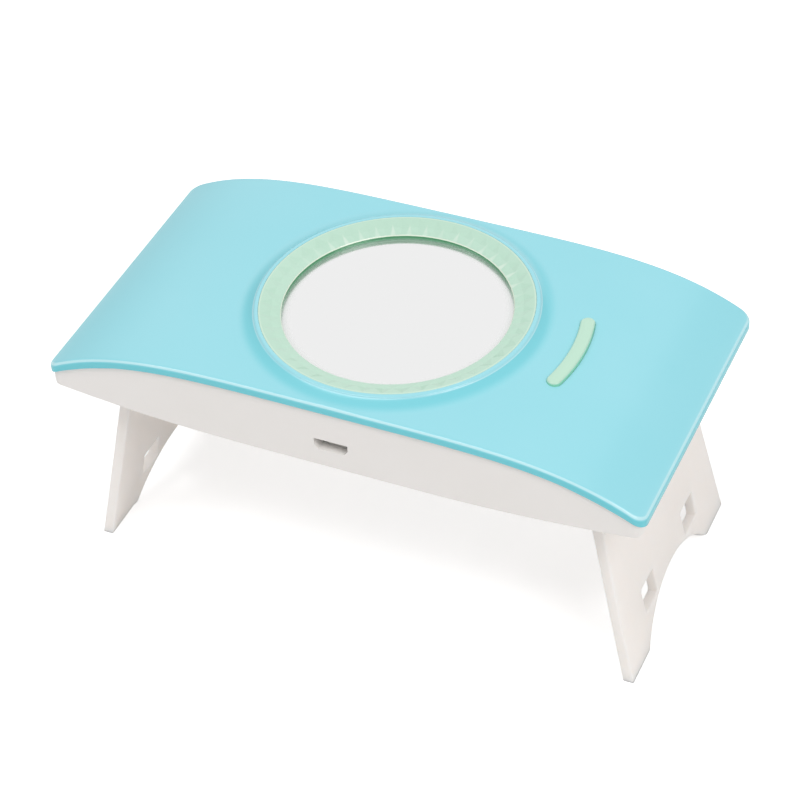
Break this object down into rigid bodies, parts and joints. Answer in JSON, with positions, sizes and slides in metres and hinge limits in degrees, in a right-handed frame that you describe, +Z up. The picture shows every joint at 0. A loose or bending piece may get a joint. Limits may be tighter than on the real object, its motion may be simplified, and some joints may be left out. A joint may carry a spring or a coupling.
{
  "type": "portable nail lamp",
  "caption": "Portable nail lamp: arched cover with a round mirror in a faceted ring, a press button, emitters underneath, and two plates that fold down as legs.",
  "frame": {"origin": "on the table, below the middle of the lamp with its legs open", "axes": "+X along the lamp, towards the button; +Z up; the charging port faces -Y"},
  "size_m": [0.134, 0.068, 0.0628],
  "materials": {
    "cover_blue": "gloss",
    "mint": "gloss",
    "mirror_glass": "polished",
    "foam_tape": "matte",
    "case_white": "satin",
    "leg_white": "satin",
    "steel": "plain",
    "board_green": "satin",
    "board_white": "satin",
    "black_plastic": "matte",
    "ceramic": "matte",
    "led_base": "matte",
    "led_lens": "clear",
    "bright_tray": "polished",
    "red_wire": "satin",
    "black_wire": "satin"
  },
  "bodies": {
    "body": {"top_cover": "cover_blue", "mirror_bezel": "mint", "mirror_glass": "mirror_glass", "mirror_tape": "foam_tape", "switch_body": "black_plastic", "button_board": "board_green", "button_board_screws": "steel", "bottom_case": "case_white", "usb_socket": "steel", "usb_tongue": "black_plastic", "control_board": "board_green", "controller_chip": "black_plastic", "led_driver": "black_plastic", "resistors": "black_plastic", "capacitors": "ceramic", "control_board_screws": "steel", "switch_leads": "red_wire", "led_leads": "black_wire", "led_board": "board_white", "led_bases": "led_base", "led_domes": "led_lens", "reflector": "bright_tray", "case_screws": "steel", "left_hinge_pins": "steel", "right_hinge_pins": "steel"},
    "button": {"power_button": "mint"},
    "plunger": {"switch_plunger": "black_plastic"},
    "leg_right": {"right_leg": "leg_white"},
    "leg_left": {"left_leg": "leg_white"}
  },
  "joints": [
    {"name": "right_leg_fold", "type": "hinge", "parent": "body", "child": "leg_right", "pos_m": [0.0523, 0, 0.0481], "axis": [0, 1, 0], "range_deg": [0, 98.8]},
    {"name": "left_leg_fold", "type": "hinge", "parent": "body", "child": "leg_left", "pos_m": [-0.0523, 0, 0.0481], "axis": [0, -1, 0], "range_deg": [0, 98.8]},
    {"name": "power_button_press", "type": "slide", "parent": "body", "child": "button", "axis": [0, 0, -1], "range_m": [0, 0.0004], "stiffness_N_per_m": 2500, "springref_m": -0.0002},
    {"name": "switch_plunger_press", "type": "slide", "parent": "body", "child": "plunger", "axis": [0, 0, -1], "range_m": [0, 0.0004]}
  ],
  "couplings": [
    {"joint": "switch_plunger_press", "follows": "power_button_press", "ratio": 1}
  ]
}
